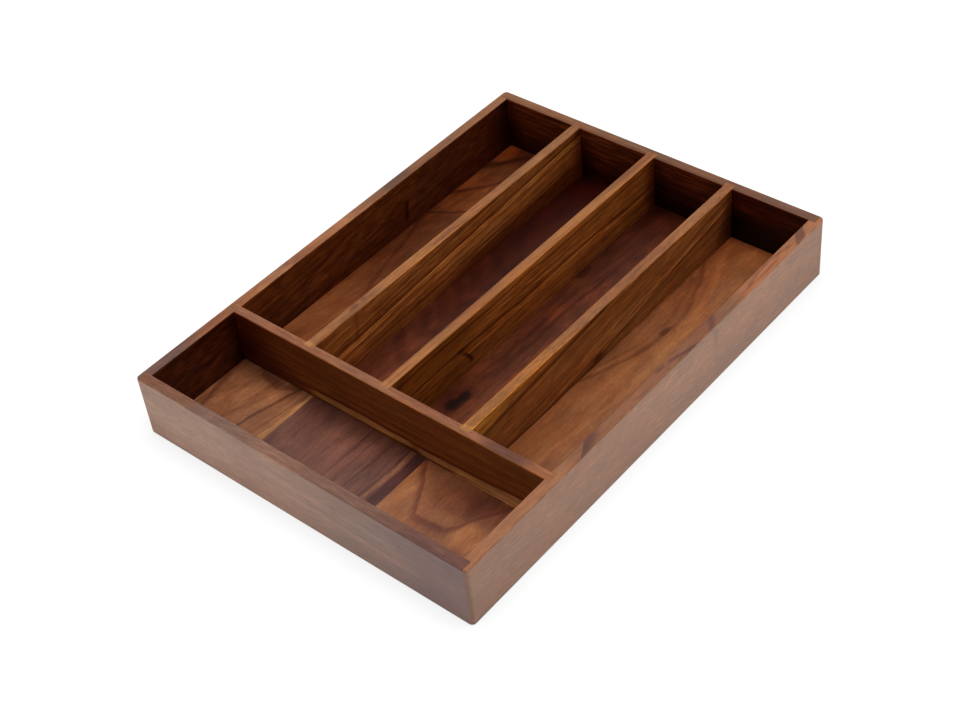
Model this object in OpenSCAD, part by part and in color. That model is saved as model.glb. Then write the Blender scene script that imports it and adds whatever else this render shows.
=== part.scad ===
// Cutlery drawer organizer: an open wooden tray with one cross compartment at the front
// and four long compartments behind it.
// X runs across the width, Y from front to back and Z up.
// The origin lies on the resting plane, under the middle of the tray.

/* [Tray] */
// Outside width, left to right
tray_w = 260; // [230:1:340]
// Outside length, front to back
tray_l = 355; // [300:1:450]
// Height of the walls and of the tops of the dividers
tray_h = 46; // [30:1:80]

/* [Walls] */
// Thickness of the four walls
wall_t = 7.5; // [6:0.5:12]
// Thickness of the side wall that is left outside the end of the front or back wall
tongue_t = 2.5; // [1.5:0.25:4]

/* [Dividers] */
// Clear depth of the front compartment, front to back
front_bay_l = 69; // [40:1:120]
// Thickness of the cross divider
cross_t = 6.5; // [5:0.5:10]
// Thickness of the long dividers
long_t = 7; // [4:0.5:10]
// Distance between neighbouring long dividers, centre to centre
long_pitch = 61.8; // [40:0.2:75]

/* [Floor] */
// Thickness of the floor boards
floor_t = 4; // [3:0.5:6]
// Height of the underside of the floor above the resting plane
floor_rise = 2; // [1:0.5:6]
// Width of the middle floor board
middle_board_w = 93; // [60:1:110]
// Distance of the centre of the middle floor board from the centre of the tray
middle_board_x = -15.5; // [-25:0.5:25]

/* [Joints] */
// Depth of the housings in the walls that hold the ends of the dividers
housing_d = 4; // [2:0.25:4.5]
// Depth of the housings in the cross divider that hold the long dividers
cross_housing_d = 3; // [1.5:0.25:3.5]
// Depth of the groove in the walls that holds the floor
groove_d = 3.5; // [2:0.25:4.5]
// Room for the floor to swell, between its edge and the bottom of the groove
swell_gap = 0.3; // [0:0.1:1]

/* [Edges] */
// Radius of the upright outside corners
corner_r = 3; // [1.5:0.25:6]
// Radius of the outside edges along the top and the bottom
edge_r = 1.2; // [0.4:0.1:1.5]
// Width of the eased edge round the mouth of each compartment
rim_w = 0.6; // [0.2:0.1:0.9]
// Radius of the eased edge round the mouth of each compartment
rim_r = 1; // [1:0.1:3]

/* [Hidden] */
$fn = 48;

// Overshoot of every cut past the surface that it opens
cut = 1;

// Half of the outside size, and of the clear space between the walls
half_w = tray_w / 2;
half_l = tray_l / 2;
inner_x = half_w - wall_t;
inner_y = half_l - wall_t;

// Top face of the floor, on which the dividers stand
floor_top = floor_rise + floor_t;

// Front and back faces of the cross divider
cross_front = -inner_y + front_bay_l;
cross_back = cross_front + cross_t;

// Centre lines of the long dividers, from left to right
long_x = [-long_pitch, 0, long_pitch];

// Left and right limits of the long compartments, from left to right
bay_left = concat([-inner_x], [for (x = long_x) x + long_t / 2]);
bay_right = concat([for (x = long_x) x - long_t / 2], [inner_x]);

// Reach of the floor into the grooves, and the two seams between its boards
floor_x = inner_x + groove_d - swell_gap;
floor_y = inner_y + groove_d - swell_gap;
left_seam = middle_board_x - middle_board_w / 2;
right_seam = middle_board_x + middle_board_w / 2;

// Centre of the eased edge, from the inner face and from the top of the tray
rim_c = (rim_w + sqrt(2 * rim_r * rim_r - rim_w * rim_w)) / 2;

// Colours of the wood, piece by piece
walnut_wall = [0.46, 0.31, 0.24];
walnut_divider = [0.52, 0.35, 0.22];
walnut_amber = [0.50, 0.30, 0.17];
walnut_plum = [0.33, 0.19, 0.17];

// Box between two opposite corners
module block(low, high) {
    translate(low) cube(high - low);
}

// Prism of a profile drawn in X and Z, running along Y from one place to another
module along_y(from, to) {
    translate([0, to, 0]) rotate([90, 0, 0]) linear_extrude(to - from) children();
}

// Prism of a profile drawn in Y and Z, running along X from one place to another
module along_x(from, to) {
    translate([from, 0, 0]) rotate([90, 0, 90]) linear_extrude(to - from) children();
}

// Upright rectangle on the resting plane with its four corners rounded
module eased_section(width) {
    difference() {
        translate([-width / 2, 0]) square([width, tray_h]);
        for (side = [0, 1], end = [0, 1])
            mirror([side, 0]) translate([width / 2, end * tray_h]) mirror([0, end])
                difference() {
                    translate([-edge_r, -cut]) square([edge_r + cut, edge_r + cut]);
                    translate([-edge_r, edge_r]) circle(edge_r);
                }
    }
}

// Outside of the whole tray, sanded round after the walls are glued together
module outside() {
    along_y(-half_l + corner_r, half_l - corner_r) eased_section(tray_w);
    along_x(-half_w + corner_r, half_w - corner_r) eased_section(tray_l);
    for (x = [0, 1], y = [0, 1])
        mirror([x, 0, 0]) mirror([0, y, 0])
            translate([half_w - corner_r, half_l - corner_r, 0])
                rotate_extrude(angle = 90)
                    intersection() {
                        eased_section(2 * corner_r);
                        square([corner_r, tray_h]);
                    }
}

// Opening that widens at the top of the tray by the width of the eased rim, in section
module mouth_section(low, high) {
    difference() {
        translate([low - rim_w, tray_h - rim_w]) square([high - low + 2 * rim_w, rim_w + cut]);
        for (edge = [low - rim_c, high + rim_c])
            translate([edge, tray_h - rim_c]) circle(rim_r);
    }
}

// Eased rim of one compartment
module mouth(left, right, front, back) {
    intersection() {
        along_y(front - rim_w, back + rim_w) mouth_section(left, right);
        along_x(left - rim_w, right + rim_w) mouth_section(front, back);
    }
}

// Eased rims of all the compartments
module mouths() {
    mouth(-inner_x, inner_x, -inner_y, cross_front);
    for (bay = [0 : len(bay_left) - 1])
        mouth(bay_left[bay], bay_right[bay], cross_back, inner_y);
}

// Groove for the floor, cut in from the inner faces of the walls
module floor_groove(reach_x, reach_y) {
    block([-reach_x, -reach_y, floor_rise], [reach_x, reach_y, floor_top]);
}

// Side wall on the right: rebated at both ends, housed for the cross divider
module side_wall() {
    difference() {
        intersection() {
            outside();
            block([inner_x, -half_l, 0], [half_w, half_l, tray_h]);
        }
        for (y = [0, 1])
            mirror([0, y, 0])
                block([inner_x - cut, inner_y, -cut], [half_w - tongue_t, half_l + cut, tray_h + cut]);
        floor_groove(inner_x + groove_d, inner_y);
        block([inner_x - cut, cross_front, floor_top], [inner_x + housing_d, cross_back, tray_h + cut]);
        mouths();
    }
}

// Wall at the back: it fits between the tongues of the side walls
module end_wall() {
    reach = half_w - tongue_t;
    difference() {
        intersection() {
            outside();
            block([-reach, inner_y, 0], [reach, half_l, tray_h]);
        }
        floor_groove(reach, inner_y + groove_d);
    }
}

// Divider that runs from the cross divider to the back wall
module long_divider(x) {
    difference() {
        block([x - long_t / 2, cross_back - cross_housing_d, floor_top],
              [x + long_t / 2, inner_y + housing_d, tray_h]);
        mouths();
    }
}

// Floor board between two places across the tray
module floor_board(from, to) {
    block([from, -floor_y, floor_rise], [to, floor_y, floor_top]);
}

module front_wall() {
    color(walnut_wall) difference() {
        mirror([0, 1, 0]) end_wall();
        mouths();
    }
}

module back_wall() {
    color(walnut_wall) difference() {
        end_wall();
        for (x = long_x)
            block([x - long_t / 2, inner_y - cut, floor_top],
                  [x + long_t / 2, inner_y + housing_d, tray_h + cut]);
        mouths();
    }
}

module left_wall() {
    color(walnut_wall) mirror([1, 0, 0]) side_wall();
}

module right_wall() {
    color(walnut_wall) side_wall();
}

module cross_divider() {
    reach = inner_x + housing_d;
    color(walnut_divider) difference() {
        block([-reach, cross_front, floor_top], [reach, cross_back, tray_h]);
        for (x = long_x)
            block([x - long_t / 2, cross_back - cross_housing_d, floor_top - cut],
                  [x + long_t / 2, cross_back + cut, tray_h + cut]);
        mouths();
    }
}

module left_divider() {
    color(walnut_divider) long_divider(long_x[0]);
}

module middle_divider() {
    color(walnut_divider) long_divider(long_x[1]);
}

module right_divider() {
    color(walnut_divider) long_divider(long_x[2]);
}

module left_floor_board() {
    color(walnut_amber) floor_board(-floor_x, left_seam);
}

module middle_floor_board() {
    color(walnut_plum) floor_board(left_seam, right_seam);
}

module right_floor_board() {
    color(walnut_amber) floor_board(right_seam, floor_x);
}

front_wall();
back_wall();
left_wall();
right_wall();
cross_divider();
left_divider();
middle_divider();
right_divider();
left_floor_board();
middle_floor_board();
right_floor_board();
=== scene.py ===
import math

import bpy
from mathutils import Matrix, Vector

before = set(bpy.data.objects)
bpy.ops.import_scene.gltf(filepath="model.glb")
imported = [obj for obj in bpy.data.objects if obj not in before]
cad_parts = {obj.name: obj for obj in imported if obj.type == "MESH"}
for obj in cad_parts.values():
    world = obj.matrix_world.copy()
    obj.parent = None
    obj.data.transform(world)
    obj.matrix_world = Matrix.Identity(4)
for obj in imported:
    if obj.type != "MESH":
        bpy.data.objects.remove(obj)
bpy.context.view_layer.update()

# Camera, in metres, at the viewpoint of the photograph
IMAGE_W = 960
SENSOR_MM = 36.0
FOCAL_PX = 1726.5
CAMERA_AT = Vector((0.5525, -0.5840, 0.7428))
CAMERA_AIM = Vector((-0.0018, -0.0123, 0.0))
CAMERA_ROLL_DEG = -6.667
CAMERA_REACH = 20.0

# Light: one large softbox overhead, with its place and size in metres and its power in watts
KEY_AT = Vector((0.30, -0.06, 1.25))
KEY_SIZE = 0.75
KEY_POWER = 17.5

# Walls of the studio: their colour, and their strength as light, as a shine in the wood and as they look
WHITE = (1.0, 1.0, 1.0, 1.0)
WORLD_LOOKS = ((None, 0.04), ("Is Glossy Ray", 0.5), ("Is Camera Ray", 1.0))

# White table, in metres: half its width, its drop under the tray and the reach of the tray's shade on it
FLOOR_HALF = 4.0
FLOOR_DROP = 0.0002
CONTACT_REACH = 0.025

# The table as light, as a shine in the wood and as it looks: the grey of its paper, its glow
# and the share of the glow that is lost close to the tray
FLOOR_LOOKS = (
    (None, 0.88, 0.92, 0.0),
    ("Is Glossy Ray", 0.60, 0.36, 0.0),
    ("Is Camera Ray", 0.10, 0.97, 0.26),
)

# Millimetres in a metre
MM = 1000.0


def add_camera():
    back = (CAMERA_AT - CAMERA_AIM).normalized()
    level_right = Vector((0.0, 0.0, 1.0)).cross(back).normalized()
    level_up = back.cross(level_right)
    roll = math.radians(CAMERA_ROLL_DEG)
    right = level_right * math.cos(roll) + level_up * math.sin(roll)
    up = level_up * math.cos(roll) - level_right * math.sin(roll)
    data = bpy.data.cameras.new("camera")
    data.sensor_fit = "HORIZONTAL"
    data.sensor_width = SENSOR_MM
    data.lens = FOCAL_PX * SENSOR_MM / IMAGE_W
    data.clip_end = CAMERA_REACH
    camera = bpy.data.objects.new("camera", data)
    turn = Matrix((right, up, back)).transposed().to_4x4()
    camera.matrix_world = Matrix.Translation(CAMERA_AT) @ turn
    bpy.context.scene.collection.objects.link(camera)
    bpy.context.scene.camera = camera


def by_ray(tree, looks, make_shader):
    """One shader for light in general, and others for the kinds of ray that are named."""
    path = tree.nodes.new("ShaderNodeLightPath")
    shade = None
    for ray, *values in looks:
        look = make_shader(tree, *values)
        if ray is None:
            shade = look
            continue
        mix = tree.nodes.new("ShaderNodeMixShader")
        tree.links.new(path.outputs[ray], mix.inputs[0])
        tree.links.new(shade, mix.inputs[1])
        tree.links.new(look, mix.inputs[2])
        shade = mix.outputs[0]
    return shade


def white_wall(tree, strength):
    light = tree.nodes.new("ShaderNodeBackground")
    light.inputs["Color"].default_value = WHITE
    light.inputs["Strength"].default_value = strength
    return light.outputs[0]


def glowing_paper(tree, grey, glow, contact):
    paper = tree.nodes.new("ShaderNodeBsdfDiffuse")
    paper.inputs["Color"].default_value = (grey, grey, grey, 1.0)
    light = tree.nodes.new("ShaderNodeEmission")
    light.inputs["Strength"].default_value = glow
    # Painted contact shadow: the glow dims close to the tray, where ambient occlusion finds it
    if contact:
        near = tree.nodes.new("ShaderNodeAmbientOcclusion")
        near.inputs["Distance"].default_value = CONTACT_REACH
        dim = tree.nodes.new("ShaderNodeMath")
        dim.operation = "MULTIPLY_ADD"
        tree.links.new(near.outputs["AO"], dim.inputs[0])
        dim.inputs[1].default_value = glow * contact
        dim.inputs[2].default_value = glow * (1.0 - contact)
        tree.links.new(dim.outputs[0], light.inputs["Strength"])
    both = tree.nodes.new("ShaderNodeAddShader")
    tree.links.new(paper.outputs[0], both.inputs[0])
    tree.links.new(light.outputs[0], both.inputs[1])
    return both.outputs[0]


def add_world():
    world = bpy.data.worlds.new("studio")
    bpy.context.scene.world = world
    world.use_nodes = True
    tree = world.node_tree
    tree.nodes.clear()
    out = tree.nodes.new("ShaderNodeOutputWorld")
    tree.links.new(by_ray(tree, WORLD_LOOKS, white_wall), out.inputs[0])


def add_key_light():
    data = bpy.data.lights.new("softbox", "AREA")
    data.shape = "SQUARE"
    data.size = KEY_SIZE
    data.energy = KEY_POWER
    lamp = bpy.data.objects.new("softbox", data)
    lamp.location = KEY_AT
    lamp.visible_glossy = False
    lamp.rotation_euler = (-KEY_AT).to_track_quat("-Z", "Y").to_euler()
    bpy.context.scene.collection.objects.link(lamp)


def add_floor():
    corners = [(-1.0, -1.0), (1.0, -1.0), (1.0, 1.0), (-1.0, 1.0)]
    mesh = bpy.data.meshes.new("floor")
    points = [(x * FLOOR_HALF, y * FLOOR_HALF, -FLOOR_DROP) for x, y in corners]
    mesh.from_pydata(points, [], [(0, 1, 2, 3)])
    floor = bpy.data.objects.new("floor", mesh)
    bpy.context.scene.collection.objects.link(floor)
    material = bpy.data.materials.new("floor")
    material.use_nodes = True
    tree = material.node_tree
    tree.nodes.clear()
    out = tree.nodes.new("ShaderNodeOutputMaterial")
    tree.links.new(by_ray(tree, FLOOR_LOOKS, glowing_paper), out.inputs[0])
    mesh.materials.append(material)


def srgb(red, green, blue):
    """Linear colour of a screen colour, 0 to 255."""
    parts = [c / 255.0 for c in (red, green, blue)]
    return [c / 12.92 if c <= 0.04045 else ((c + 0.055) / 1.055) ** 2.4 for c in parts] + [1.0]


# Sockets of a Mix node that mixes colours
MIX_FACTOR, MIX_BELOW, MIX_ABOVE, MIX_RESULT = 0, 6, 7, 2

# Directions of faces
LEFT, RIGHT = (-1.0, 0.0, 0.0), (1.0, 0.0, 0.0)
FRONT, BACK = (0.0, -1.0, 0.0), (0.0, 1.0, 0.0)
UP = (0.0, 0.0, 1.0)

# How far a face looks one way, as a cosine: not at all under the first value, fully over the second
FACE_LIMITS = (0.3, 0.9)

# Noise: its detail, its middle, the seed's step from one noise to the next and its share on each axis
PLAIN, DETAILED = 1.0, 2.0
NOISE_MIDDLE = (0.5, 0.5, 0.5)
SEED_STEP = 7.3
SEED_SHARES = (1.0, 1.7, 0.6)

# Sizes of noise, along the fibres and across them, in mm
WAVE = (60.0, 12.0)
BROAD_STREAK = (190.0, 7.0)
FINE_STREAK = (90.0, 1.8)
SHORT_STREAK = (9.0, 1.7)
CLOUD = (80.0, 34.0)
MOTTLE = (24.0, 10.0)
WARM_CLOUD = (45.0, 20.0)
RING_SWAY = (220.0, 24.0)
RING_BREAK = (140.0, 16.0)
FIBRE = (26.0, 0.55)
PORE = (7.0, 0.42)

# Limits between which a noise or a level goes from nothing to full
WARM_LIMITS = (0.35, 0.65)
RING_RISE = (0.1, 0.9)
RING_DROP = (1.0, 0.92)
RING_BREAK_LIMITS = (0.30, 0.70)
FIBRE_LIMITS = (0.72, 0.28)
PORE_LIMITS = (0.54, 0.66)
# Painted shade in the recesses: the occlusion at which it starts and at which it is full
RECESS_SHADE_LIMITS = (0.80, 0.20)
FLECK_STEP = 0.14

# Reach of the waves for a wobble of 1, weight of the clouds and places of the colours on the ramp
WAVE_REACH = 4.0
CLOUD_WEIGHT = 0.5
DARK_AT, MIDDLE_AT, LIGHT_AT = 0.1, 0.5, 0.9

# Softness of the ends of a band and of an arch, in mm
BAND_SOFT = (1.0, 1.0)
ARCH_SOFT = (4.0, 4.0)

# Oiled surface; the depth of the relief and the reach of the painted shade in the recesses are in metres
ROUGHNESS, FIBRE_ROUGHNESS = 0.32, 0.16
OIL_IOR = 1.6
SHEEN, SHEEN_LOSS = 0.5, 0.4
RELIEF, RELIEF_DEPTH = 0.25, 0.0001
PORE_DEPTH = 0.7
RECESS_SHADE_REACH = 0.04
RECESS_SHADE_SAMPLES = 6

# Tints, which multiply the colour of the wood
WARM = (1.08, 0.98, 0.90)
DARK_PORE = (0.42, 0.36, 0.34)
DARK_FIBRE = (0.80, 0.75, 0.72)
SOFT_FIBRE = (0.88, 0.85, 0.83)
FAINT_FIBRE = (0.92, 0.90, 0.88)
# Painted shade in corners and recesses
PAINTED_RECESS_SHADE = (0.42, 0.28, 0.22)
KNOT = (0.17, 0.12, 0.11)
RING = (0.66, 0.58, 0.56)
FINE_RING = (0.70, 0.61, 0.56)
DARK_RING = (0.50, 0.40, 0.36)
PALE_FLECK = (1.18, 1.18, 1.16)
# Painted shade along the foot of a wall
FOOT_SHADE = (0.62, 0.58, 0.64)


class Wood:
    """Walnut of one board, built up layer by layer. Lengths are in mm, in the shared frame."""

    def __init__(self, name, grain, seed, slope=0.0, drift=0.0, wobble=1.2):
        self.material = bpy.data.materials.new(name)
        self.material.use_nodes = True
        self.nodes = self.material.node_tree.nodes
        self.links = self.material.node_tree.links
        self.shader = self.nodes["Principled BSDF"]
        self.seed = seed
        self.colour = None
        self.where = None
        self.dull = None
        source = self.nodes.new("ShaderNodeTexCoord")
        self.normal = source.outputs["Normal"]
        place = self.vector("SCALE", source.outputs["Object"], scale=MM)
        self.follow_grain(self.split(place), grain, slope, drift)
        wave = self.vector("SUBTRACT", self.noise("Color", WAVE, DETAILED), NOISE_MIDDLE)
        wave = self.vector("SCALE", wave, scale=WAVE_REACH * wobble)
        self.axis = dict(zip("xyz", self.split(self.vector("ADD", place, wave))))

    def put(self, socket, value):
        """Link a socket to another one, or set its value."""
        if isinstance(value, bpy.types.NodeSocket):
            self.links.new(value, socket)
        else:
            socket.default_value = value

    def calc(self, operation, *values):
        node = self.nodes.new("ShaderNodeMath")
        node.operation = operation
        for socket, value in zip(node.inputs, values):
            self.put(socket, value)
        return node.outputs[0]

    def vector(self, operation, a, b=None, scale=None):
        node = self.nodes.new("ShaderNodeVectorMath")
        node.operation = operation
        self.put(node.inputs[0], a)
        if b is not None:
            self.put(node.inputs[1], b)
        if scale is not None:
            self.put(node.inputs["Scale"], scale)
        return node.outputs["Value" if operation == "DOT_PRODUCT" else "Vector"]

    def split(self, vector):
        node = self.nodes.new("ShaderNodeSeparateXYZ")
        self.links.new(vector, node.inputs[0])
        return node.outputs

    def follow_grain(self, place, grain, slope, drift):
        """Coordinates along the fibres, across them and up, for fibres that rise or drift a little."""
        along, across = (place[0], place[1]) if grain == "X" else (place[1], place[0])
        self.across = self.calc("MULTIPLY_ADD", along, -drift, across)
        self.up = self.calc("MULTIPLY_ADD", along, -slope, place[2])
        node = self.nodes.new("ShaderNodeCombineXYZ")
        for socket, value in zip(node.inputs, (along, self.across, self.up)):
            self.put(socket, value)
        self.fibre = node.outputs[0]

    def noise(self, output, size, detail):
        """Noise drawn out along the fibres. Each call has a seed of its own."""
        length, width = size
        self.seed += SEED_STEP
        stretch = self.nodes.new("ShaderNodeMapping")
        stretch.inputs["Scale"].default_value = (1.0 / length, 1.0 / width, 1.0 / width)
        stretch.inputs["Location"].default_value = [share * self.seed for share in SEED_SHARES]
        self.links.new(self.fibre, stretch.inputs["Vector"])
        node = self.nodes.new("ShaderNodeTexNoise")
        node.inputs["Scale"].default_value = 1.0
        node.inputs["Detail"].default_value = detail
        self.links.new(stretch.outputs[0], node.inputs["Vector"])
        return node.outputs[output]

    def smooth(self, value, low, high):
        """0 at one limit, 1 at the other, and a soft step between them."""
        node = self.nodes.new("ShaderNodeMapRange")
        node.interpolation_type = "SMOOTHSTEP"
        self.put(node.inputs["Value"], value)
        node.inputs["From Min"].default_value = low
        node.inputs["From Max"].default_value = high
        return node.outputs[0]

    def between(self, value, low, high, soft):
        """1 from the low limit to the high one."""
        above = self.smooth(value, low - soft[0], low)
        return self.calc("MULTIPLY", above, self.smooth(value, high + soft[1], high))

    def facing(self, way):
        """1 on the faces that look one way."""
        return self.smooth(self.vector("DOT_PRODUCT", self.normal, way), *FACE_LIMITS)

    def on(self, way):
        """Keep the marks that follow on the faces that look one way."""
        self.where = self.facing(way)

    def off(self, way):
        """Keep the marks that follow off the faces that look one way."""
        self.where = self.calc("SUBTRACT", 1.0, self.facing(way))

    def only(self, axis, band, way=None):
        """Keep the marks that follow in a band of one axis, on one face or on all."""
        self.where = self.between(self.axis[axis], *band, BAND_SOFT)
        if way:
            self.where = self.calc("MULTIPLY", self.where, self.facing(way))

    def everywhere(self):
        """Let the marks that follow reach every face."""
        self.where = None

    def tint(self, mask, colour):
        """Multiply the colour of the wood where the mask is 1."""
        if self.where is not None:
            mask = self.calc("MULTIPLY", mask, self.where)
        node = self.nodes.new("ShaderNodeMix")
        node.data_type = "RGBA"
        node.blend_type = "MULTIPLY"
        self.put(node.inputs[MIX_FACTOR], mask)
        self.links.new(self.colour, node.inputs[MIX_BELOW])
        node.inputs[MIX_ABOVE].default_value = (*colour, 1.0)
        self.colour = node.outputs[MIX_RESULT]

    def figure(self, dark, middle, light, broad, fine, mottle=0.2, fleck=0.3):
        """Ground colour, in screen colours, with streaks along the fibres, clouds and mottling."""
        layers = (
            (BROAD_STREAK, broad),
            (FINE_STREAK, fine),
            (SHORT_STREAK, fleck),
            (CLOUD, CLOUD_WEIGHT),
            (MOTTLE, mottle),
        )
        level = MIDDLE_AT
        for size, weight in layers:
            layer = self.noise("Fac", size, DETAILED)
            level = self.calc("ADD", level, self.calc("MULTIPLY_ADD", layer, 2.0 * weight, -weight))
        ramp = self.nodes.new("ShaderNodeValToRGB")
        first, last = ramp.color_ramp.elements
        first.position, first.color = DARK_AT, srgb(*dark)
        last.position, last.color = LIGHT_AT, srgb(*light)
        ramp.color_ramp.elements.new(MIDDLE_AT).color = srgb(*middle)
        self.links.new(level, ramp.inputs[0])
        self.colour = ramp.outputs[0]
        self.tint(self.smooth(self.noise("Fac", WARM_CLOUD, DETAILED), *WARM_LIMITS), WARM)

    def flecks(self, length, width, colour, few=0.5):
        """Many short marks along the fibres; a higher few leaves fewer of them."""
        spots = self.noise("Fac", (length, width), PLAIN)
        self.tint(self.smooth(spots, few, few + FLECK_STEP), colour)

    def rings(self, spacing, tilt, sway, colour):
        """Growth lines along the fibres: each darkens slowly and ends sharply."""
        tilt = math.radians(tilt)
        level = self.calc("MULTIPLY", self.across, math.cos(tilt) / spacing)
        level = self.calc("MULTIPLY_ADD", self.up, math.sin(tilt) / spacing, level)
        level = self.calc("MULTIPLY_ADD", self.noise("Fac", RING_SWAY, PLAIN), 2.0 * sway, level)
        part = self.calc("FRACT", level)
        line = self.calc("MULTIPLY", self.smooth(part, *RING_RISE), self.smooth(part, *RING_DROP))
        strength = self.smooth(self.noise("Fac", RING_BREAK, PLAIN), *RING_BREAK_LIMITS)
        self.tint(self.calc("MULTIPLY", line, strength), colour)

    def patch(self, colour, x=None, y=None, z=None, soft=0.6):
        """A soft oval, with its middle and half its width on each axis that bounds it."""
        total = 0.0
        for place, extent in zip(self.axis.values(), (x, y, z)):
            if extent is not None:
                middle, half = extent
                part = self.calc("MULTIPLY_ADD", place, 1.0 / half, -middle / half)
                total = self.calc("MULTIPLY_ADD", part, part, total)
        self.tint(self.smooth(total, 1.0 + soft, max(1.0 - soft, 0.0)), colour)

    def beyond(self, axis, level, soft, colour):
        """All the wood past a level on one axis; a negative softness turns it round."""
        self.tint(self.smooth(self.axis[axis], level - soft, level + soft), colour)

    def stroke(self, u, v, start, end, width, colour, soft=1.2, fade=6.0, sag=0.0):
        """A line from one place (u, v) to another, straight or sagging, with soft sides and ends."""
        length = end[0] - start[0]
        run = self.calc("SUBTRACT", self.axis[u], start[0])
        rise = (end[1] - start[1]) / length - 4.0 * sag / length
        line = self.calc("MULTIPLY_ADD", run, 4.0 * sag / length ** 2, rise)
        line = self.calc("MULTIPLY_ADD", line, run, start[1])
        off = self.calc("SUBTRACT", self.axis[v], line)
        mask = self.between(off, -width / 2.0, width / 2.0, (soft, soft))
        ends = self.between(self.axis[u], start[0] + fade, end[0] - fade, (2.0 * fade, 2.0 * fade))
        self.tint(self.calc("MULTIPLY", mask, ends), colour)

    def arch(self, u, v, tip, bend, span, colour, low, high, soft, power=2.0, flat=0.0):
        """A growth ring cut as an arch over a span of u, from low to high off its line along v.

        The crown of the arch is level for twice the length of flat.
        """
        run = self.calc("ABSOLUTE", self.calc("SUBTRACT", self.axis[u], tip[0]))
        run = self.calc("MAXIMUM", self.calc("SUBTRACT", run, flat), 0.0)
        line = self.calc("MULTIPLY_ADD", self.calc("POWER", run, power), bend, tip[1])
        off = self.calc("SUBTRACT", self.axis[v], line)
        ends = self.between(self.axis[u], *span, ARCH_SOFT)
        self.tint(self.calc("MULTIPLY", self.between(off, low, high, soft), ends), colour)

    def face(self, way, colour):
        """Another tone on the faces that look one way."""
        self.tint(self.facing(way), colour)

    def matt(self, way):
        """Less sheen on the faces that look one way."""
        mask = self.facing(way)
        self.dull = mask if self.dull is None else self.calc("MAXIMUM", self.dull, mask)

    def finish(self, inside=None, fibre=DARK_FIBRE, pores=0.45):
        """Last layers: fibres, pores, painted shade in the recesses on the inside or everywhere, and the
        surface.
        """
        self.everywhere()
        fibres = self.noise("Fac", FIBRE, DETAILED)
        pits = self.smooth(self.noise("Fac", PORE, PLAIN), *PORE_LIMITS)
        self.tint(self.smooth(fibres, *FIBRE_LIMITS), fibre)
        self.tint(self.calc("MULTIPLY", pits, pores), DARK_PORE)
        if inside:
            self.on(inside)
        # Painted shade in corners and recesses
        self.paint_recess_shade()
        self.links.new(self.colour, self.shader.inputs["Base Color"])
        self.oil(fibres)
        self.emboss(fibres, pits)
        return self.material

    def paint_recess_shade(self):
        """Painted shade: a darker colour in corners and recesses, where ambient occlusion finds them."""
        hollow = self.nodes.new("ShaderNodeAmbientOcclusion")
        hollow.samples = RECESS_SHADE_SAMPLES
        hollow.inputs["Distance"].default_value = RECESS_SHADE_REACH
        self.tint(self.smooth(hollow.outputs["AO"], *RECESS_SHADE_LIMITS), PAINTED_RECESS_SHADE)

    def oil(self, fibres):
        """Roughness that follows the fibres, and the sheen of an oiled surface."""
        rough = self.calc("MULTIPLY_ADD", fibres, FIBRE_ROUGHNESS, ROUGHNESS)
        self.links.new(rough, self.shader.inputs["Roughness"])
        self.shader.inputs["IOR"].default_value = OIL_IOR
        if self.dull is not None:
            sheen = self.calc("MULTIPLY_ADD", self.dull, -SHEEN_LOSS, SHEEN)
            self.links.new(sheen, self.shader.inputs["Specular IOR Level"])

    def emboss(self, fibres, pits):
        """Fine relief of the fibres and pores."""
        relief = self.nodes.new("ShaderNodeBump")
        relief.inputs["Strength"].default_value = RELIEF
        relief.inputs["Distance"].default_value = RELIEF_DEPTH
        self.links.new(self.calc("MULTIPLY_ADD", pits, -PORE_DEPTH, fibres), relief.inputs["Height"])
        self.links.new(relief.outputs[0], self.shader.inputs["Normal"])


# Parts of the floor in front of the cross divider and behind it, in mm along y; they meet under it
PARTING = -98.0
FRONT_PART = (-180.0, PARTING)
LONG_PART = (PARTING, 180.0)

# Part of the left wall in front of the cross divider, and where the long dividers come out behind it
WALL_FRONT_PART = (-180.0, -100.0)
DIVIDER_FRONT = -93.5


def shaded_foot(wood):
    """Painted shade along the lower edge of a wall."""
    wood.everywhere()
    wood.beyond("z", 1.4, -0.8, FOOT_SHADE)


def hidden_inside(wood, way, spacing, sway, tone):
    """Inside of a wall that the photograph doesn't show, and the last layers."""
    wood.on(way)
    wood.rings(spacing=spacing, tilt=70.0, sway=sway, colour=DARK_RING)
    wood.flecks(40.0, 1.6, (1.45, 1.5, 1.5))
    wood.flecks(24.0, 1.2, (0.60, 0.52, 0.50))
    wood.face(way, tone)
    wood.matt(way)
    return wood.finish(way, fibre=FAINT_FIBRE)


def shade_back_end(wood):
    """Painted shade close to the back wall."""
    wood.beyond("y", 164.0, 6.0, (0.48, 0.38, 0.36))


def finish_divider(wood):
    """Left face of a long divider, which the photograph doesn't show, and the last layers."""
    wood.everywhere()
    # Painted light: the left face is lightened where the lamp leaves it in shade
    wood.face(LEFT, (1.7, 1.6, 1.5))
    wood.matt(LEFT)
    wood.matt(RIGHT)
    return wood.finish()


def front_wall_outside(wood):
    """Outside: short flecks and two pale lines, lighter towards the left."""
    wood.on(FRONT)
    wood.flecks(10.0, 1.1, (1.22, 1.22, 1.22), few=0.52)
    wood.flecks(14.0, 1.4, (0.90, 0.87, 0.86), few=0.54)
    wood.stroke("x", "z", (-20.0, 30.0), (75.0, 29.0), 1.5, (1.18, 1.17, 1.17), soft=2.0, fade=15.0)
    wood.stroke("x", "z", (0.0, 19.5), (95.0, 17.0), 1.5, (1.22, 1.2, 1.15), soft=2.0, fade=15.0)
    wood.beyond("x", -62.0, -30.0, (1.16, 1.24, 1.30))
    wood.beyond("x", 15.0, 45.0, (0.66, 0.67, 0.74))
    wood.beyond("x", 80.0, 25.0, (0.72, 0.575, 0.75))
    wood.beyond("z", 16.0, -10.0, (0.94, 0.91, 0.88))
    wood.face(FRONT, (0.92, 0.91, 0.80))


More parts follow.
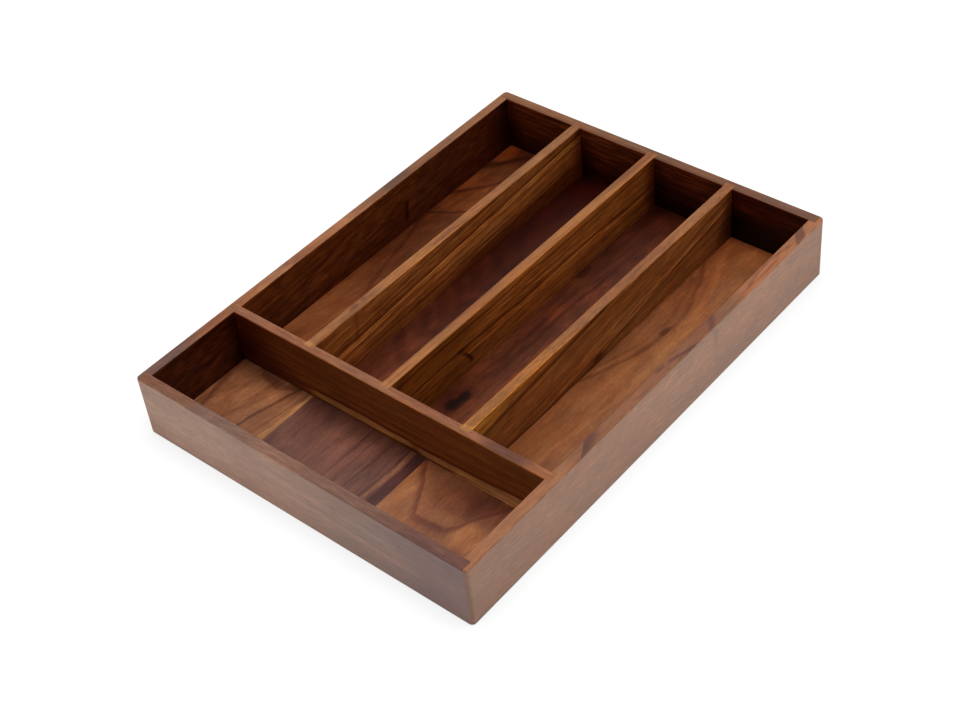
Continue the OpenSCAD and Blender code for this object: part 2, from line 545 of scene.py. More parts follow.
def front_wall_top(wood):
    """Top edge: warm near the left end, dark at the right one."""
    wood.on(UP)
    wood.flecks(12.0, 1.5, (0.82, 0.78, 0.78), few=0.52)
    wood.flecks(9.0, 1.2, (1.20, 1.21, 1.21))
    wood.patch((0.98, 0.80, 0.62), x=(-108.0, 24.0))
    wood.patch((1.04, 1.05, 1.06), x=(-30.0, 26.0), soft=0.9)
    wood.beyond("x", 15.0, 25.0, (0.80, 0.82, 0.88))
    wood.beyond("x", 75.0, 20.0, (0.76, 0.60, 0.60))
    wood.face(UP, (0.75, 0.84, 0.98))


def front_wall_wood():
    wood = Wood("front wall walnut", grain="X", seed=11.0, slope=0.01)
    wood.figure((134, 92, 70), (148, 105, 82), (160, 115, 90), broad=0.3, fine=0.15, mottle=0.4, fleck=0.15)
    front_wall_outside(wood)
    front_wall_top(wood)
    # Painted shade along the foot
    shaded_foot(wood)
    return hidden_inside(wood, BACK, spacing=6.0, sway=1.1, tone=(0.60, 0.39, 0.23))


def back_wall_top(wood):
    """Top edge: lighter towards the left."""
    wood.on(UP)
    wood.beyond("x", -50.0, -30.0, (1.20, 1.24, 1.20))
    wood.beyond("x", 66.0, 8.0, (1.0, 1.0, 1.18))


def back_wall_inside(wood):
    """Inside: painted shade along the foot, in the corners of the compartments and over the whole face."""
    wood.on(FRONT)
    wood.flecks(30.0, 2.4, (1.8, 1.9, 1.9))
    wood.flecks(18.0, 1.6, (0.70, 0.64, 0.64))
    # Painted shade along the foot
    wood.beyond("z", 24.0, -14.0, (0.29, 0.21, 0.17))
    wood.beyond("x", 0.0, 8.0, (0.84, 0.80, 0.80))
    wood.beyond("x", 60.0, 8.0, (0.76, 0.56, 0.56))
    wood.patch((0.62, 0.56, 0.52), x=(14.0, 30.0), z=(10.0, 16.0), soft=0.9)
    wood.patch((1.4, 1.4, 1.4), x=(28.0, 18.0), z=(40.0, 9.0), soft=0.9)
    # Painted shadow in the left corner of each compartment
    for x in (-122.0, -58.0, 4.0, 66.0):
        wood.patch((0.46, 0.38, 0.42), x=(x, 10.0), z=(14.0, 24.0), soft=0.9)
    wood.patch((0.27, 0.18, 0.36), x=(84.0, 44.0), z=(8.0, 20.0), soft=0.9)
    wood.patch((1.24, 1.24, 1.24), x=(-30.0, 26.0), z=(40.0, 12.0), soft=0.9)
    # Painted shade over the whole inner face
    wood.face(FRONT, (0.52, 0.25, 0.155))


def back_wall_wood():
    wood = Wood("back wall walnut", grain="X", seed=23.0)
    wood.figure((114, 74, 46), (141, 94, 61), (158, 108, 70), broad=0.5, fine=0.5)
    wood.rings(spacing=6.0, tilt=60.0, sway=1.0, colour=FINE_RING)
    wood.beyond("x", -10.0, 40.0, (0.74, 0.77, 0.86))
    back_wall_top(wood)
    back_wall_inside(wood)
    wood.matt(FRONT)
    return wood.finish(FRONT)


def left_wall_top(wood):
    """Top edge: grey at the front end, with one grey mark farther back."""
    wood.on(UP)
    wood.beyond("y", -133.0, -12.0, (0.46, 0.565, 1.0))
    wood.patch((0.70, 0.76, 0.92), x=(-127.0, 6.0), y=(55.0, 13.0))
    wood.patch((1.16, 1.19, 1.17), y=(-45.0, 50.0))
    wood.beyond("y", 20.0, 20.0, (0.82, 0.82, 0.76))
    wood.beyond("y", 85.0, 12.0, (1.11, 1.11, 1.10))


def left_wall_inside(wood):
    """Inside: rising lines and one dark upright mark, with painted shade beside the cross divider, towards
    the back and along the foot.
    """
    wood.on(RIGHT)
    wood.flecks(14.0, 2.8, (1.42, 1.47, 1.45))
    wood.flecks(11.0, 2.2, (0.70, 0.63, 0.63))
    wood.stroke("y", "z", (-95.0, 17.0), (0.0, 36.0), 0.6, (0.62, 0.54, 0.52), soft=1.4, fade=15.0)
    wood.stroke("y", "z", (-80.0, 14.0), (20.0, 24.0), 1.0, (1.3, 1.35, 1.3), soft=1.6, fade=20.0)
    wood.stroke("z", "y", (12.0, 57.5), (28.0, 59.5), 1.6, (0.30, 0.25, 0.25), soft=1.8, fade=2.0)
    wood.patch((0.80, 0.72, 0.70), y=(50.0, 12.0), z=(18.0, 12.0), soft=0.9)
    wood.patch((0.86, 0.90, 1.0), y=(-72.0, 30.0), z=(14.0, 14.0), soft=0.9)
    # Painted shade beside the cross divider
    wood.beyond("y", -99.0, -2.0, (0.45, 0.34, 0.36))
    wood.beyond("y", -107.0, 7.0, (0.50, 0.40, 0.40))
    wood.beyond("y", -97.0, 2.0, (2.0, 2.5, 2.5))
    # Painted shade towards the back wall
    wood.beyond("y", 90.0, 30.0, (0.70, 0.57, 0.66))
    wood.beyond("y", 148.0, 20.0, (0.46, 0.43, 0.50))
    wood.beyond("y", 162.0, 7.0, (0.45, 0.36, 0.40))
    # Painted shade along the foot
    wood.beyond("z", 24.0, -12.0, (0.84, 0.80, 0.84))
    # Darker tone of the inner face: partly the wood's own, partly painted shade
    wood.face(RIGHT, (0.366, 0.208, 0.100))


def left_wall_front_part(wood):
    """Inside, in the front compartment: short pale and dark flecks."""
    wood.only("y", WALL_FRONT_PART, RIGHT)
    wood.flecks(10.0, 3.2, (1.4, 1.45, 1.4), few=0.48)
    wood.flecks(9.0, 2.6, (0.72, 0.66, 0.66))
    wood.beyond("z", 24.0, -12.0, (1.75, 2.4, 2.4))
    wood.face(RIGHT, (0.85, 0.88, 1.1))


def left_wall_wood():
    wood = Wood("left wall walnut", grain="Y", seed=37.0, drift=0.01, slope=0.06)
    wood.figure((138, 90, 62), (162, 108, 73), (178, 120, 80), broad=0.5, fine=0.5)
    wood.rings(spacing=5.0, tilt=70.0, sway=1.2, colour=FINE_RING)
    left_wall_top(wood)
    left_wall_inside(wood)
    left_wall_front_part(wood)
    wood.matt(RIGHT)
    return wood.finish(RIGHT)


def right_wall_top(wood):
    """Top edge: a purple wedge and purple marks, and wavy lines near the back."""
    wood.on(UP)
    wood.flecks(18.0, 1.6, (0.86, 0.84, 0.86))
    wood.beyond("y", -85.0, -8.0, (1.31, 1.36, 1.36))
    wedge = dict(u="x", v="y", tip=(120.0, -61.0), bend=-1.6, span=(110.0, 140.0), power=1.0)
    wood.arch(**wedge, colour=(0.50, 0.46, 0.62), low=0.0, high=3.0, soft=(1.6, 15.0))
    wood.stroke("x", "y", (120.0, 10.0), (132.0, 7.0), 1.0, (0.88, 0.86, 0.90), soft=1.8, fade=0.5)
    wood.stroke("x", "y", (120.0, 23.0), (132.0, 19.0), 1.0, (0.90, 0.88, 0.92), soft=1.8, fade=0.5)
    wood.patch((0.98, 0.92, 0.94), y=(46.0, 14.0))
    wood.stroke("x", "y", (121.0, 62.0), (131.0, 50.0), 2.0, (0.66, 0.60, 0.76), soft=4.0, fade=0.5)
    wood.stroke("y", "x", (13.0, 124.6), (36.0, 130.4), 1.2, (0.58, 0.51, 0.66), soft=1.6, fade=2.5)
    wood.patch((0.74, 0.72, 0.78), x=(124.2, 2.0), y=(5.5, 4.0), soft=0.9)
    wood.beyond("y", 84.0, 10.0, (1.52, 1.48, 1.34))
    fine = dict(u="y", v="x", width=0.8, soft=0.9, fade=3.0)
    wood.stroke(start=(92.0, 127.0), end=(143.0, 127.0), colour=(0.74, 0.68, 0.68), sag=2.6, **fine)
    wood.stroke(start=(96.0, 126.0), end=(134.0, 125.0), colour=(0.78, 0.72, 0.72), sag=-2.2, **fine)
    wood.stroke("x", "y", (118.0, 163.0), (134.0, 145.0), 7.0, (0.46, 0.43, 0.56), soft=3.0, fade=0.5)
    wood.face(UP, (0.90, 0.89, 0.93))


def right_wall_edge(wood):
    """Warm upper edge near the back."""
    wood.everywhere()
    wood.patch((1.10, 1.0, 0.88), x=(130.0, 4.0), y=(110.0, 38.0), z=(46.0, 6.0), soft=0.9)


def right_wall_outside(wood):
    """Outside: short flecks, darker towards the foot."""
    wood.on(RIGHT)
    wood.flecks(9.0, 1.0, (1.36, 1.36, 1.36), few=0.54)
    wood.flecks(12.0, 1.2, (0.86, 0.83, 0.83), few=0.52)
    wood.stroke("y", "z", (-165.0, 13.0), (10.0, 12.0), 2.0, (1.10, 1.06, 0.94), soft=3.0, fade=25.0)
    wood.patch((0.80, 0.78, 0.78), y=(56.0, 2.5), z=(35.0, 9.0))
    wood.patch((1.08, 1.08, 1.06), y=(100.0, 45.0), z=(34.0, 10.0), soft=0.9)
    wood.patch((0.86, 0.84, 0.86), y=(140.0, 8.0), z=(38.0, 4.0), soft=0.9)
    wood.beyond("y", -70.0, -40.0, (0.87, 0.85, 0.80))
    wood.beyond("z", 20.0, -14.0, (0.81, 0.74, 0.53))
    wood.face(RIGHT, (0.935, 0.91, 0.70))


def right_wall_wood():
    wood = Wood("right wall walnut", grain="Y", seed=41.0, drift=-0.01)
    wood.figure((130, 87, 58), (141, 94, 65), (152, 102, 70), broad=0.2, fine=0.1, mottle=0.4, fleck=0.1)
    right_wall_top(wood)
    right_wall_edge(wood)
    right_wall_outside(wood)
    # Painted shade along the foot
    shaded_foot(wood)
    wood.face(FRONT, (0.64, 0.59, 0.60))
    return hidden_inside(wood, LEFT, spacing=5.0, sway=1.2, tone=(0.92, 0.64, 0.41))


def cross_divider_top(wood):
    """Top edge: a dark stretch near the right end."""
    wood.on(UP)
    wood.flecks(14.0, 1.4, (0.77, 0.74, 0.74))
    wood.beyond("x", -62.0, -10.0, (1.18, 1.20, 1.20))
    wood.beyond("x", 76.0, 8.0, (0.52, 0.46, 0.54))
    wood.beyond("x", 108.0, 7.0, (2.05, 2.2, 1.75))
    wood.face(UP, (0.95, 0.93, 0.90))


def cross_divider_strip(wood):
    """Front: flecks, and the pale strip along the foot with its dark edge."""
    wood.on(FRONT)
    wood.flecks(40.0, 2.6, (1.18, 1.2, 1.2), few=0.52)
    wood.flecks(30.0, 1.8, (0.86, 0.82, 0.80), few=0.52)
    pale, paler = (1.8, 2.9, 6.0), (2.5, 4.2, 7.2)
    wood.stroke("x", "z", (-62.0, 10.7), (19.0, 10.7), 3.0, (2.05, 3.2, 5.6), soft=2.0, fade=5.0)
    wood.stroke("x", "z", (25.0, 9.2), (51.0, 10.4), 3.0, pale, soft=1.8, fade=4.0)
    wood.stroke("x", "z", (53.0, 7.7), (160.0, 12.4), 9.0, paler, soft=1.8, fade=4.0)
    wood.stroke("x", "z", (84.0, 10.5), (160.0, 13.8), 7.0, (1.18, 1.22, 1.40), soft=1.5, fade=8.0)
    wood.stroke("x", "z", (50.0, 6.0), (160.0, 7.5), 2.0, (1.32, 1.25, 1.20), soft=2.0)
    edge = (0.66, 0.48, 0.26)
    wood.stroke("x", "z", (-100.0, 11.5), (-46.0, 6.1), 0.8, edge)
    wood.stroke("x", "z", (-84.0, 11.8), (-58.0, 14.4), 0.6, edge, fade=5.0)
    wood.stroke("x", "z", (-58.0, 14.5), (24.0, 14.3), 0.8, edge, soft=1.3, fade=5.0, sag=-0.9)
    wood.stroke("x", "z", (24.0, 13.2), (160.0, 20.0), 0.8, edge, soft=1.3, fade=5.0)


def cross_divider_shades(wood):
    """Front: broad tones, with painted shade towards the left end and painted light over the face."""
    wood.on(FRONT)
    wood.stroke("x", "z", (-60.0, 28.0), (40.0, 31.0), 3.0, (1.15, 1.18, 1.2), soft=3.0, fade=20.0)
    wood.stroke("x", "z", (-125.0, 6.3), (-60.0, 6.3), 0.8, (0.6, 0.5, 0.5), soft=0.8, fade=5.0)
    wood.stroke("x", "z", (12.0, 7.4), (27.0, 7.4), 1.2, (0.5, 0.4, 0.2), soft=1.4, fade=4.0)
    wood.patch((0.88, 0.80, 0.72), x=(-40.0, 40.0), z=(36.0, 12.0), soft=0.9)
    # Painted shade in the left corner of the front compartment
    wood.beyond("x", -98.0, -22.0, (0.42, 0.21, 0.24))
    wood.patch((0.50, 0.42, 0.50), x=(-105.0, 36.0), z=(13.0, 16.0), soft=0.9)
    wood.beyond("x", 75.0, 25.0, (1.14, 1.24, 1.40))
    wood.beyond("x", -40.0, -25.0, (0.87, 0.83, 0.68))
    # Painted light: the front face is lightened and warmed where the lamp leaves it dim
    wood.face(FRONT, (1.40, 1.10, 0.43))


def cross_divider_wood():
    wood = Wood("cross divider walnut", grain="X", seed=53.0)
    wood.figure((130, 84, 60), (150, 99, 70), (166, 111, 78), broad=0.5, fine=0.4, mottle=0.3)
    wood.rings(spacing=7.0, tilt=75.0, sway=1.2, colour=FINE_RING)
    cross_divider_top(wood)
    cross_divider_strip(wood)
    cross_divider_shades(wood)
    wood.matt(FRONT)
    wood.matt(BACK)
    return wood.finish(BACK)


def left_divider_face(wood):
    """Right face: lines that rise towards the back, with painted shade along the foot and towards the back,
    and painted light over the face.
    """
    wood.on(RIGHT)
    rise = 18.4
    for z, width, colour, soft in (
        (20.3, 3.0, (1.6, 1.75, 1.9), 1.6),
        (23.3, 0.7, (0.46, 0.36, 0.30), 1.0),
        (26.0, 0.5, (0.72, 0.64, 0.58), 1.0),
        (14.8, 1.2, (1.25, 1.3, 1.3), 1.5),
        (17.4, 0.4, (0.66, 0.56, 0.50), 0.8),
    ):
        wood.stroke("y", "z", (-100.0, z), (175.0, z + rise), width, colour, soft=soft)
    wood.stroke("y", "z", (-10.0, 12.0), (175.0, 24.6), 0.8, (0.6, 0.5, 0.45), fade=20.0)
    # Painted shade low down towards the back
    wood.stroke("y", "z", (20.0, 4.0), (175.0, 14.0), 14.0, (0.44, 0.31, 0.26), soft=3.0, fade=30.0)
    wood.stroke("z", "y", (24.0, -60.0), (48.0, -58.0), 0.8, (0.80, 0.75, 0.72), soft=1.8, fade=3.0)
    wood.patch((1.14, 1.16, 1.18), y=(25.0, 60.0), z=(36.0, 12.0), soft=0.9)
    # Painted light: the right face is lightened and warmed for the light inside the compartment
    wood.face(RIGHT, (1.13, 0.93, 0.69))
    # Painted shade towards the back wall
    wood.beyond("y", 128.0, 12.0, (0.84, 0.81, 0.74))
    shade_back_end(wood)


def left_divider_top(wood):
    """Top edge: two small knots and a pale front end."""
    wood.on(UP)
    wood.patch((0.60, 0.54, 0.66), x=(-62.5, 1.8), y=(-55.0, 4.0), soft=0.9)
    wood.patch((0.64, 0.58, 0.70), x=(-63.0, 1.4), y=(-46.0, 2.6), soft=0.9)
    wood.patch((1.18, 1.18, 1.08), y=(25.0, 50.0))
    wood.beyond("y", DIVIDER_FRONT, -1.0, (1.46, 1.57, 1.57))
    wood.face(UP, (0.89, 0.87, 0.90))


def left_divider_wood():
    wood = Wood("left divider walnut", grain="Y", seed=61.0, slope=0.067)
    wood.figure((128, 78, 42), (158, 103, 57), (178, 120, 69), broad=0.6, fine=0.6)
    wood.off(UP)
    wood.rings(spacing=4.0, tilt=80.0, sway=0.8, colour=(0.52, 0.42, 0.36))
    wood.flecks(16.0, 0.9, (0.66, 0.58, 0.52))
    wood.flecks(24.0, 1.0, (1.30, 1.32, 1.30), few=0.52)
    left_divider_face(wood)
    left_divider_top(wood)
    return finish_divider(wood)


def middle_divider_face(wood):
    """Right face: level lines and one dark, curved mark, with painted shade along the foot and towards the
    back, and painted light over the face.
    """
    wood.on(RIGHT)
    wood.stroke("y", "z", (-100.0, 26.5), (175.0, 24.5), 0.7, (0.48, 0.38, 0.33), soft=1.0)
    wood.stroke("y", "z", (0.0, 23.5), (175.0, 21.5), 1.0, (1.4, 1.45, 1.45), soft=1.3, fade=15.0)
    wood.stroke("y", "z", (-100.0, 28.5), (20.0, 27.5), 0.8, (1.3, 1.35, 1.3), soft=1.0, fade=15.0)
    wood.stroke("y", "z", (-100.0, 40.0), (175.0, 41.0), 0.6, (0.56, 0.48, 0.44), soft=1.0)
    crack = dict(u="z", v="y", start=(12.0, -25.0), end=(23.0, -32.0), width=1.0, sag=-1.5)
    wood.stroke(**crack, colour=(0.24, 0.17, 0.14), soft=2.0, fade=2.5)
    wood.patch((0.44, 0.36, 0.32), y=(-34.0, 4.0), z=(25.5, 1.6), soft=0.9)
    wood.patch((0.80, 0.76, 0.62), y=(-60.0, 40.0), soft=0.8)
    wood.patch((0.70, 0.66, 0.57), y=(-60.0, 45.0), z=(38.0, 14.0), soft=0.8)
    wood.patch((0.88, 0.86, 0.86), y=(130.0, 50.0), z=(14.0, 12.0), soft=0.8)
    # Painted shade along the foot
    wood.beyond("z", 20.0, -10.0, (0.82, 0.84, 0.86))
    # Painted light: the right face is lightened and warmed for the light inside the compartment
    wood.face(RIGHT, (1.19, 0.98, 0.65))
    # Painted shade towards the back wall
    wood.beyond("y", 158.0, 4.0, (0.76, 0.70, 0.72))
    shade_back_end(wood)


def middle_divider_top(wood):
    """Top edge: lighter towards the back, with a pale front end."""
    wood.on(UP)
    wood.beyond("y", 30.0, 80.0, (1.18, 1.18, 1.12))
    wood.beyond("y", DIVIDER_FRONT, -1.0, (1.15, 1.22, 1.40))
    wood.face(UP, (0.87, 0.86, 0.89))


def middle_divider_wood():
    wood = Wood("middle divider walnut", grain="Y", seed=67.0)
    wood.figure((132, 80, 42), (160, 103, 54), (180, 120, 67), broad=0.6, fine=0.6)
    wood.off(UP)
    wood.rings(spacing=4.5, tilt=80.0, sway=0.7, colour=(0.54, 0.44, 0.38))
    wood.flecks(16.0, 0.9, (0.64, 0.56, 0.50))
    wood.flecks(24.0, 1.0, (1.34, 1.36, 1.32), few=0.52)
    middle_divider_face(wood)
    middle_divider_top(wood)
    return finish_divider(wood)


def right_divider_face(wood):
    """Right face: golden in its upper front part, with lines that rise, painted shade towards the back and
    painted light over the face.
    """
    wood.on(RIGHT)
    wood.stroke("y", "z", (-120.0, 47.0), (35.0, 62.5), 28.0, (1.75, 1.85, 1.35), soft=1.5, fade=10.0)
    wood.patch((1.3, 1.38, 1.2), y=(-86.0, 20.0), z=(42.0, 10.0), soft=0.9)
    wood.stroke("y", "z", (-100.0, 31.5), (35.0, 45.0), 0.8, (0.58, 0.48, 0.44))
    wood.stroke("y", "z", (15.0, -10.5), (190.0, 18.5), 40.0, (0.86, 0.88, 0.89), soft=1.5, fade=10.0)
    wood.stroke("y", "z", (15.0, 10.8), (190.0, 39.8), 0.8, (1.4, 1.4, 1.4), soft=1.0, fade=10.0)
    wood.stroke("y", "z", (15.0, 8.8), (190.0, 37.8), 0.6, (0.62, 0.54, 0.50), soft=1.0, fade=10.0)
    wood.patch((0.34, 0.27, 0.24), y=(23.0, 5.0), z=(11.0, 1.8), soft=0.9)
    wood.patch((1.15, 1.28, 1.4), y=(50.0, 40.0), z=(18.0, 10.0), soft=0.9)
    wood.patch((0.82, 0.84, 0.84), y=(-60.0, 45.0), z=(14.0, 14.0), soft=0.9)
    wood.patch((0.90, 0.90, 0.84), y=(20.0, 45.0), z=(38.0, 12.0), soft=0.9)
    wood.stroke("y", "z", (-70.0, 7.5), (30.0, 7.5), 0.8, (0.5, 0.42, 0.4), soft=1.0)
    # Painted light: the right face is lightened and warmed for the light inside the compartment
    wood.face(RIGHT, (1.49, 1.34, 0.97))
    # Painted shade in the lower corner by the back wall
    wood.patch((0.52, 0.44, 0.46), y=(168.0, 14.0), z=(12.0, 16.0), soft=0.9)
    shade_back_end(wood)


def right_divider_top(wood):
    """Top edge: golden towards the front, with a pale front end."""
    wood.on(UP)
    wood.beyond("y", -5.0, -15.0, (1.28, 1.27, 0.94))
    wood.patch((0.84, 0.84, 0.88), y=(25.0, 42.0))
    wood.beyond("y", DIVIDER_FRONT, -1.0, (1.46, 1.62, 1.64))
    wood.face(UP, (1.03, 1.03, 1.02))


def right_divider_wood():
    wood = Wood("right divider walnut", grain="Y", seed=71.0, slope=0.12)
    wood.figure((126, 80, 46), (150, 98, 58), (168, 111, 67), broad=0.5, fine=0.5)
    wood.off(UP)
    wood.rings(spacing=6.0, tilt=80.0, sway=1.0, colour=(0.54, 0.45, 0.39))
    wood.flecks(16.0, 0.9, (0.68, 0.60, 0.54))
    wood.flecks(22.0, 1.0, (1.28, 1.30, 1.28), few=0.52)
    right_divider_face(wood)
    right_divider_top(wood)
    return finish_divider(wood)


def left_floor_front(wood):
    """Part in the front compartment: one arch, lines and a pale strip at the seam."""
    wood.only("y", FRONT_PART)
    ring = dict(u="x", v="y", tip=(-90.0, -108.0), bend=0.030, span=(-108.0, -74.0))
    wood.arch(**ring, colour=(0.62, 0.56, 0.54), low=-0.6, high=2.0, soft=(2.2, 4.0))
    wood.stroke("y", "x", (-180.0, -92.0), (-95.0, -73.0), 0.8, (0.50, 0.42, 0.40))
    wood.stroke("y", "x", (-180.0, -108.0), (-95.0, -78.0), 0.6, (0.86, 0.82, 0.80), soft=1.5)
    wood.stroke("y", "x", (-180.0, -78.0), (-95.0, -66.0), 0.6, (0.80, 0.74, 0.72))
    wood.stroke("y", "x", (-180.0, -112.0), (-95.0, -124.0), 0.8, RING, soft=2.0)
    wood.stroke("y", "x", (-190.0, -65.0), (-100.0, -63.0), 3.6, (1.5, 1.75, 1.5), soft=1.6, fade=3.0)
    # Painted shade in front of the cross divider
    wood.beyond("y", -108.0, 8.0, (0.74, 0.72, 0.72))
    wood.beyond("y", PARTING, -2.0, (0.90, 0.97, 1.06))


def left_floor_long(wood):
    """Part in the left compartment: slanting rings, darker towards the back."""
    wood.only("y", LONG_PART)
    wood.beyond("y", PARTING, 2.0, (0.68, 0.56, 0.44))
    wood.beyond("y", -5.0, 35.0, (0.515, 0.43, 0.345))
    wood.patch((1.4, 1.34, 1.15), x=(-110.0, 24.0), y=(110.0, 22.0), soft=0.8)
    wood.patch((0.84, 0.78, 0.76), x=(-75.0, 9.0), y=(-30.0, 40.0), soft=0.9)
    wood.stroke("y", "x", (-10.0, -103.0), (75.0, -122.0), 0.8, (0.66, 0.58, 0.56), soft=2.2, fade=12.0)
    wood.stroke("x", "y", (-150.0, 55.0), (-70.0, 116.6), 0.8, (0.54, 0.46, 0.44), soft=2.0, fade=14.0)
    wood.stroke("x", "y", (-150.0, 68.0), (-70.0, 169.6), 2.0, (0.54, 0.46, 0.44), soft=3.0, fade=14.0)
    wood.stroke("x", "y", (-150.0, 112.0), (-70.0, 198.0), 3.0, (0.46, 0.38, 0.36), soft=5.0, fade=14.0)
    wood.patch((1.95, 1.7, 1.4), x=(-121.0, 8.0), y=(160.0, 10.0), soft=0.95)


def left_floor_board_wood():
    wood = Wood("left floor board walnut", grain="Y", seed=83.0, drift=0.12, wobble=1.8)
    wood.figure((122, 72, 45), (153, 99, 65), (178, 122, 83), broad=0.15, fine=0.12, mottle=0.55, fleck=0.12)
    wood.flecks(3.0, 1.3, PALE_FLECK, few=0.52)
    wood.flecks(12.0, 0.9, (0.80, 0.74, 0.72), few=0.54)
    left_floor_front(wood)
    left_floor_long(wood)
    return wood.finish()


def middle_floor_front(wood):
    """Part in the front compartment: straight lines and a dark strip."""
    wood.only("y", FRONT_PART)
    for x, colour in ((-12.0, (0.64, 0.58, 0.60)), (-3.5, (0.74, 0.69, 0.70)), (4.5, (0.70, 0.65, 0.66))):
        wood.stroke("y", "x", (-190.0, x), (-85.0, x + 0.8), 0.6, colour, soft=1.0)
    wood.stroke("y", "x", (-190.0, 26.6), (-85.0, 26.6), 8.0, (0.50, 0.42, 0.54))
    wood.stroke("y", "x", (-190.0, 17.0), (-85.0, 20.5), 1.2, (1.6, 1.75, 1.35), soft=1.0)
    wood.stroke("y", "x", (-190.0, 14.8), (-85.0, 18.3), 0.5, (0.72, 0.66, 0.68), soft=0.8)
    # Painted shade in front of the cross divider
    wood.beyond("y", -112.0, 8.0, (0.66, 0.60, 0.62))
    wood.beyond("y", PARTING, -2.0, (0.93, 0.93, 0.93))


def middle_floor_tones(wood):
    """Part behind the cross divider: tones of its two compartments, with painted shadow towards the back."""
    wood.only("y", LONG_PART)
    wood.beyond("y", PARTING, 2.0, (0.66, 0.41, 0.25))
    wood.beyond("x", 0.0, 1.0, (0.88, 0.92, 0.84))
    # Painted shadow towards the back of the compartments
    wood.beyond("y", 90.0, 90.0, (0.52, 0.40, 0.38))
    wood.patch((0.46, 0.30, 0.225), x=(-40.0, 38.0), y=(130.0, 140.0), soft=0.8)
    wood.patch((1.0, 0.53, 0.36), x=(-40.0, 38.0), y=(160.0, 60.0), soft=0.9)


def middle_floor_chevrons(wood):
    """Pointed rings, flecks and spots behind the cross divider."""
    wood.only("y", LONG_PART)
    chevron = dict(u="x", v="y", bend=1.0, span=(-70.0, -20.0), power=1.0, soft=(5.0, 6.0))
    for y, half in ((-42.0, 3.0), (-18.0, 2.0), (0.0, 4.0), (15.0, 2.0), (33.0, 3.0), (56.0, 3.0)):
        wood.arch(**chevron, tip=(-42.0, y), colour=(0.72, 0.64, 0.62), low=-half, high=half)
    wood.flecks(14.0, 5.0, (1.22, 1.18, 1.15))
    wood.flecks(14.0, 4.0, (0.82, 0.76, 0.77))
    wood.patch((1.16, 1.22, 1.24), x=(-40.0, 40.0), y=(-75.0, 50.0), soft=0.9)
    wood.patch((1.25, 1.2, 1.15), x=(-26.0, 8.0), y=(24.0, 16.0), soft=0.9)
    wood.patch((0.72, 0.64, 0.64), x=(-26.0, 8.0), y=(-30.0, 10.0), soft=0.9)


def middle_floor_knot(wood):
    """The knot behind the cross divider, and the lines and spots around it."""
    wood.only("y", LONG_PART)
    wood.patch((0.62, 0.48, 0.50), x=(14.0, 11.0), y=(-54.0, 15.0), soft=0.9)
    wood.patch(KNOT, x=(14.3, 4.9), y=(-57.5, 5.8), soft=0.8)
    wood.patch(KNOT, x=(16.2, 3.4), y=(-48.5, 5.6), soft=0.8)
    wood.stroke("y", "x", (-74.0, 20.5), (-47.0, 24.0), 3.0, (1.75, 1.75, 1.35), soft=2.5, fade=4.0)
    wood.stroke("y", "x", (-95.0, 29.5), (160.0, 30.0), 1.6, (1.5, 1.4, 1.1), soft=1.5, fade=12.0)
    wood.stroke("y", "x", (10.0, 19.5), (110.0, 21.0), 0.8, (0.60, 0.54, 0.54), soft=1.5, fade=12.0)
    wood.stroke("y", "x", (-35.0, 12.0), (70.0, 13.5), 0.8, (0.74, 0.68, 0.68), soft=1.5, fade=15.0)
    wood.stroke("y", "x", (60.0, 25.0), (165.0, 26.0), 2.0, (1.3, 1.25, 1.15), soft=2.5, fade=15.0)
    wood.patch((0.46, 0.40, 0.40), x=(5.0, 4.0), y=(86.0, 8.0))
    wood.patch((1.24, 1.12, 1.0), x=(14.0, 5.0), y=(45.0, 8.0))
    wood.beyond("y", 164.0, 6.0, (0.62, 0.52, 0.52))


def middle_floor_board_wood():
    wood = Wood("middle floor board walnut", grain="Y", seed=89.0, wobble=1.8)
    wood.figure((82, 51, 43), (110, 72, 61), (132, 88, 74), broad=0.15, fine=0.12, mottle=0.6, fleck=0.12)
    wood.flecks(3.0, 1.3, PALE_FLECK, few=0.52)
    wood.flecks(14.0, 1.0, (0.80, 0.74, 0.74), few=0.54)
    middle_floor_front(wood)
    middle_floor_tones(wood)
    middle_floor_chevrons(wood)
    middle_floor_knot(wood)
    return wood.finish(fibre=SOFT_FIBRE, pores=0.3)


def right_floor_front(wood):
    """Part in the front compartment: an arch with a level crown."""
    wood.only("y", FRONT_PART)
    front = dict(u="x", v="y", tip=(64.5, -138.5), bend=1.78, power=1.0, flat=11.0)
    wood.arch(**front, span=(30.0, 102.0), colour=(0.88, 0.82, 0.82), low=1.0, high=60.0, soft=(5.0, 4.0))
    wood.arch(**front, span=(30.0, 82.0), colour=(0.80, 0.72, 0.76), low=-5.0, high=0.0, soft=(6.0, 1.5))
    wood.arch(**front, span=(30.0, 102.0), colour=(0.74, 0.67, 0.73), low=-2.5, high=0.4, soft=(3.0, 2.2))
    wood.patch((0.66, 0.56, 0.56), x=(67.0, 15.0), y=(-115.0, 12.0), soft=0.9)
    wood.patch((0.62, 0.53, 0.66), x=(88.0, 13.0), y=(-111.0, 12.0), soft=0.9)
    wood.patch((1.18, 1.18, 1.14), x=(70.0, 10.0), y=(-131.0, 5.0), soft=0.9)
    wood.patch((1.5, 1.5, 1.3), x=(91.0, 11.0), y=(-134.0, 9.0), soft=0.9)
    wood.stroke("y", "x", (-190.0, 43.0), (-95.0, 32.0), 9.0, (1.22, 1.18, 1.06), soft=4.0)
    wood.beyond("y", PARTING, -2.0, (0.83, 0.87, 0.96))


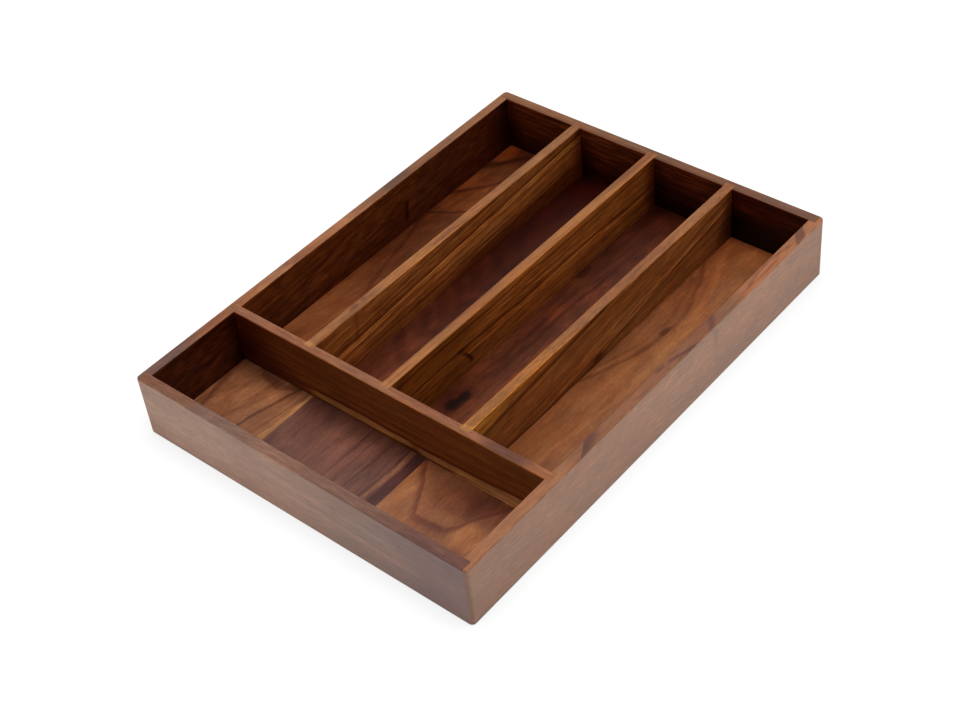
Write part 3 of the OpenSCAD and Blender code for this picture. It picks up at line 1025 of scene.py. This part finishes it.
def right_floor_long(wood):
    """Part behind the cross divider: wide arches and a small knot."""
    wood.only("y", LONG_PART)
    wood.beyond("y", PARTING, 1.0, (0.82, 0.81, 0.73))
    wood.beyond("y", 80.0, 50.0, (1.03, 0.95, 0.86))
    ring = dict(u="y", v="x", bend=-0.0039, low=-0.3, high=0.3)
    wood.arch(**ring, tip=(72.0, 84.0), span=(0.0, 150.0), colour=(0.70, 0.63, 0.60), soft=(3.0, 1.3))
    wood.arch(**ring, tip=(72.0, 78.0), span=(10.0, 140.0), colour=(0.82, 0.78, 0.75), soft=(2.0, 1.5))
    pale_ring = dict(u="y", v="x", bend=-0.0030, low=-1.0, high=1.0)
    wood.arch(**pale_ring, tip=(76.0, 89.0), span=(50.0, 150.0), colour=(1.22, 1.2, 1.1), soft=(2.0, 2.0))
    wood.stroke("y", "x", (42.0, 92.5), (132.0, 95.0), 3.0, (1.18, 1.20, 1.06), soft=2.5, fade=12.0)
    wood.stroke("y", "x", (-90.0, 84.0), (30.0, 97.0), 1.2, (1.2, 1.2, 1.16), soft=1.8, fade=12.0)
    wood.patch((0.40, 0.36, 0.36), x=(82.0, 2.4), y=(69.0, 5.0), soft=0.95)
    wood.patch((0.50, 0.42, 0.42), x=(116.0, 14.0), y=(164.0, 14.0), soft=0.9)
    wood.beyond("y", 167.0, 4.0, (0.70, 0.62, 0.62))


def right_floor_board_wood():
    wood = Wood("right floor board walnut", grain="Y", seed=97.0, wobble=1.8)
    wood.figure((122, 74, 47), (146, 93, 60), (168, 112, 74), broad=0.12, fine=0.12, mottle=0.55, fleck=0.12)
    wood.flecks(3.0, 1.3, PALE_FLECK, few=0.52)
    wood.flecks(12.0, 0.9, (0.90, 0.86, 0.84), few=0.54)
    right_floor_front(wood)
    right_floor_long(wood)
    return wood.finish(fibre=SOFT_FIBRE, pores=0.3)


# Wood of each node
WOODS = {
    "front_wall": front_wall_wood,
    "back_wall": back_wall_wood,
    "left_wall": left_wall_wood,
    "right_wall": right_wall_wood,
    "cross_divider": cross_divider_wood,
    "left_divider": left_divider_wood,
    "middle_divider": middle_divider_wood,
    "right_divider": right_divider_wood,
    "left_floor_board": left_floor_board_wood,
    "middle_floor_board": middle_floor_board_wood,
    "right_floor_board": right_floor_board_wood,
}

add_camera()
add_world()
add_key_light()
add_floor()
for name, make_wood in WOODS.items():
    wood_material = make_wood()
    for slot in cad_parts[name].material_slots:
        slot.material = wood_material

bpy.context.scene.view_settings.view_transform = "Standard"
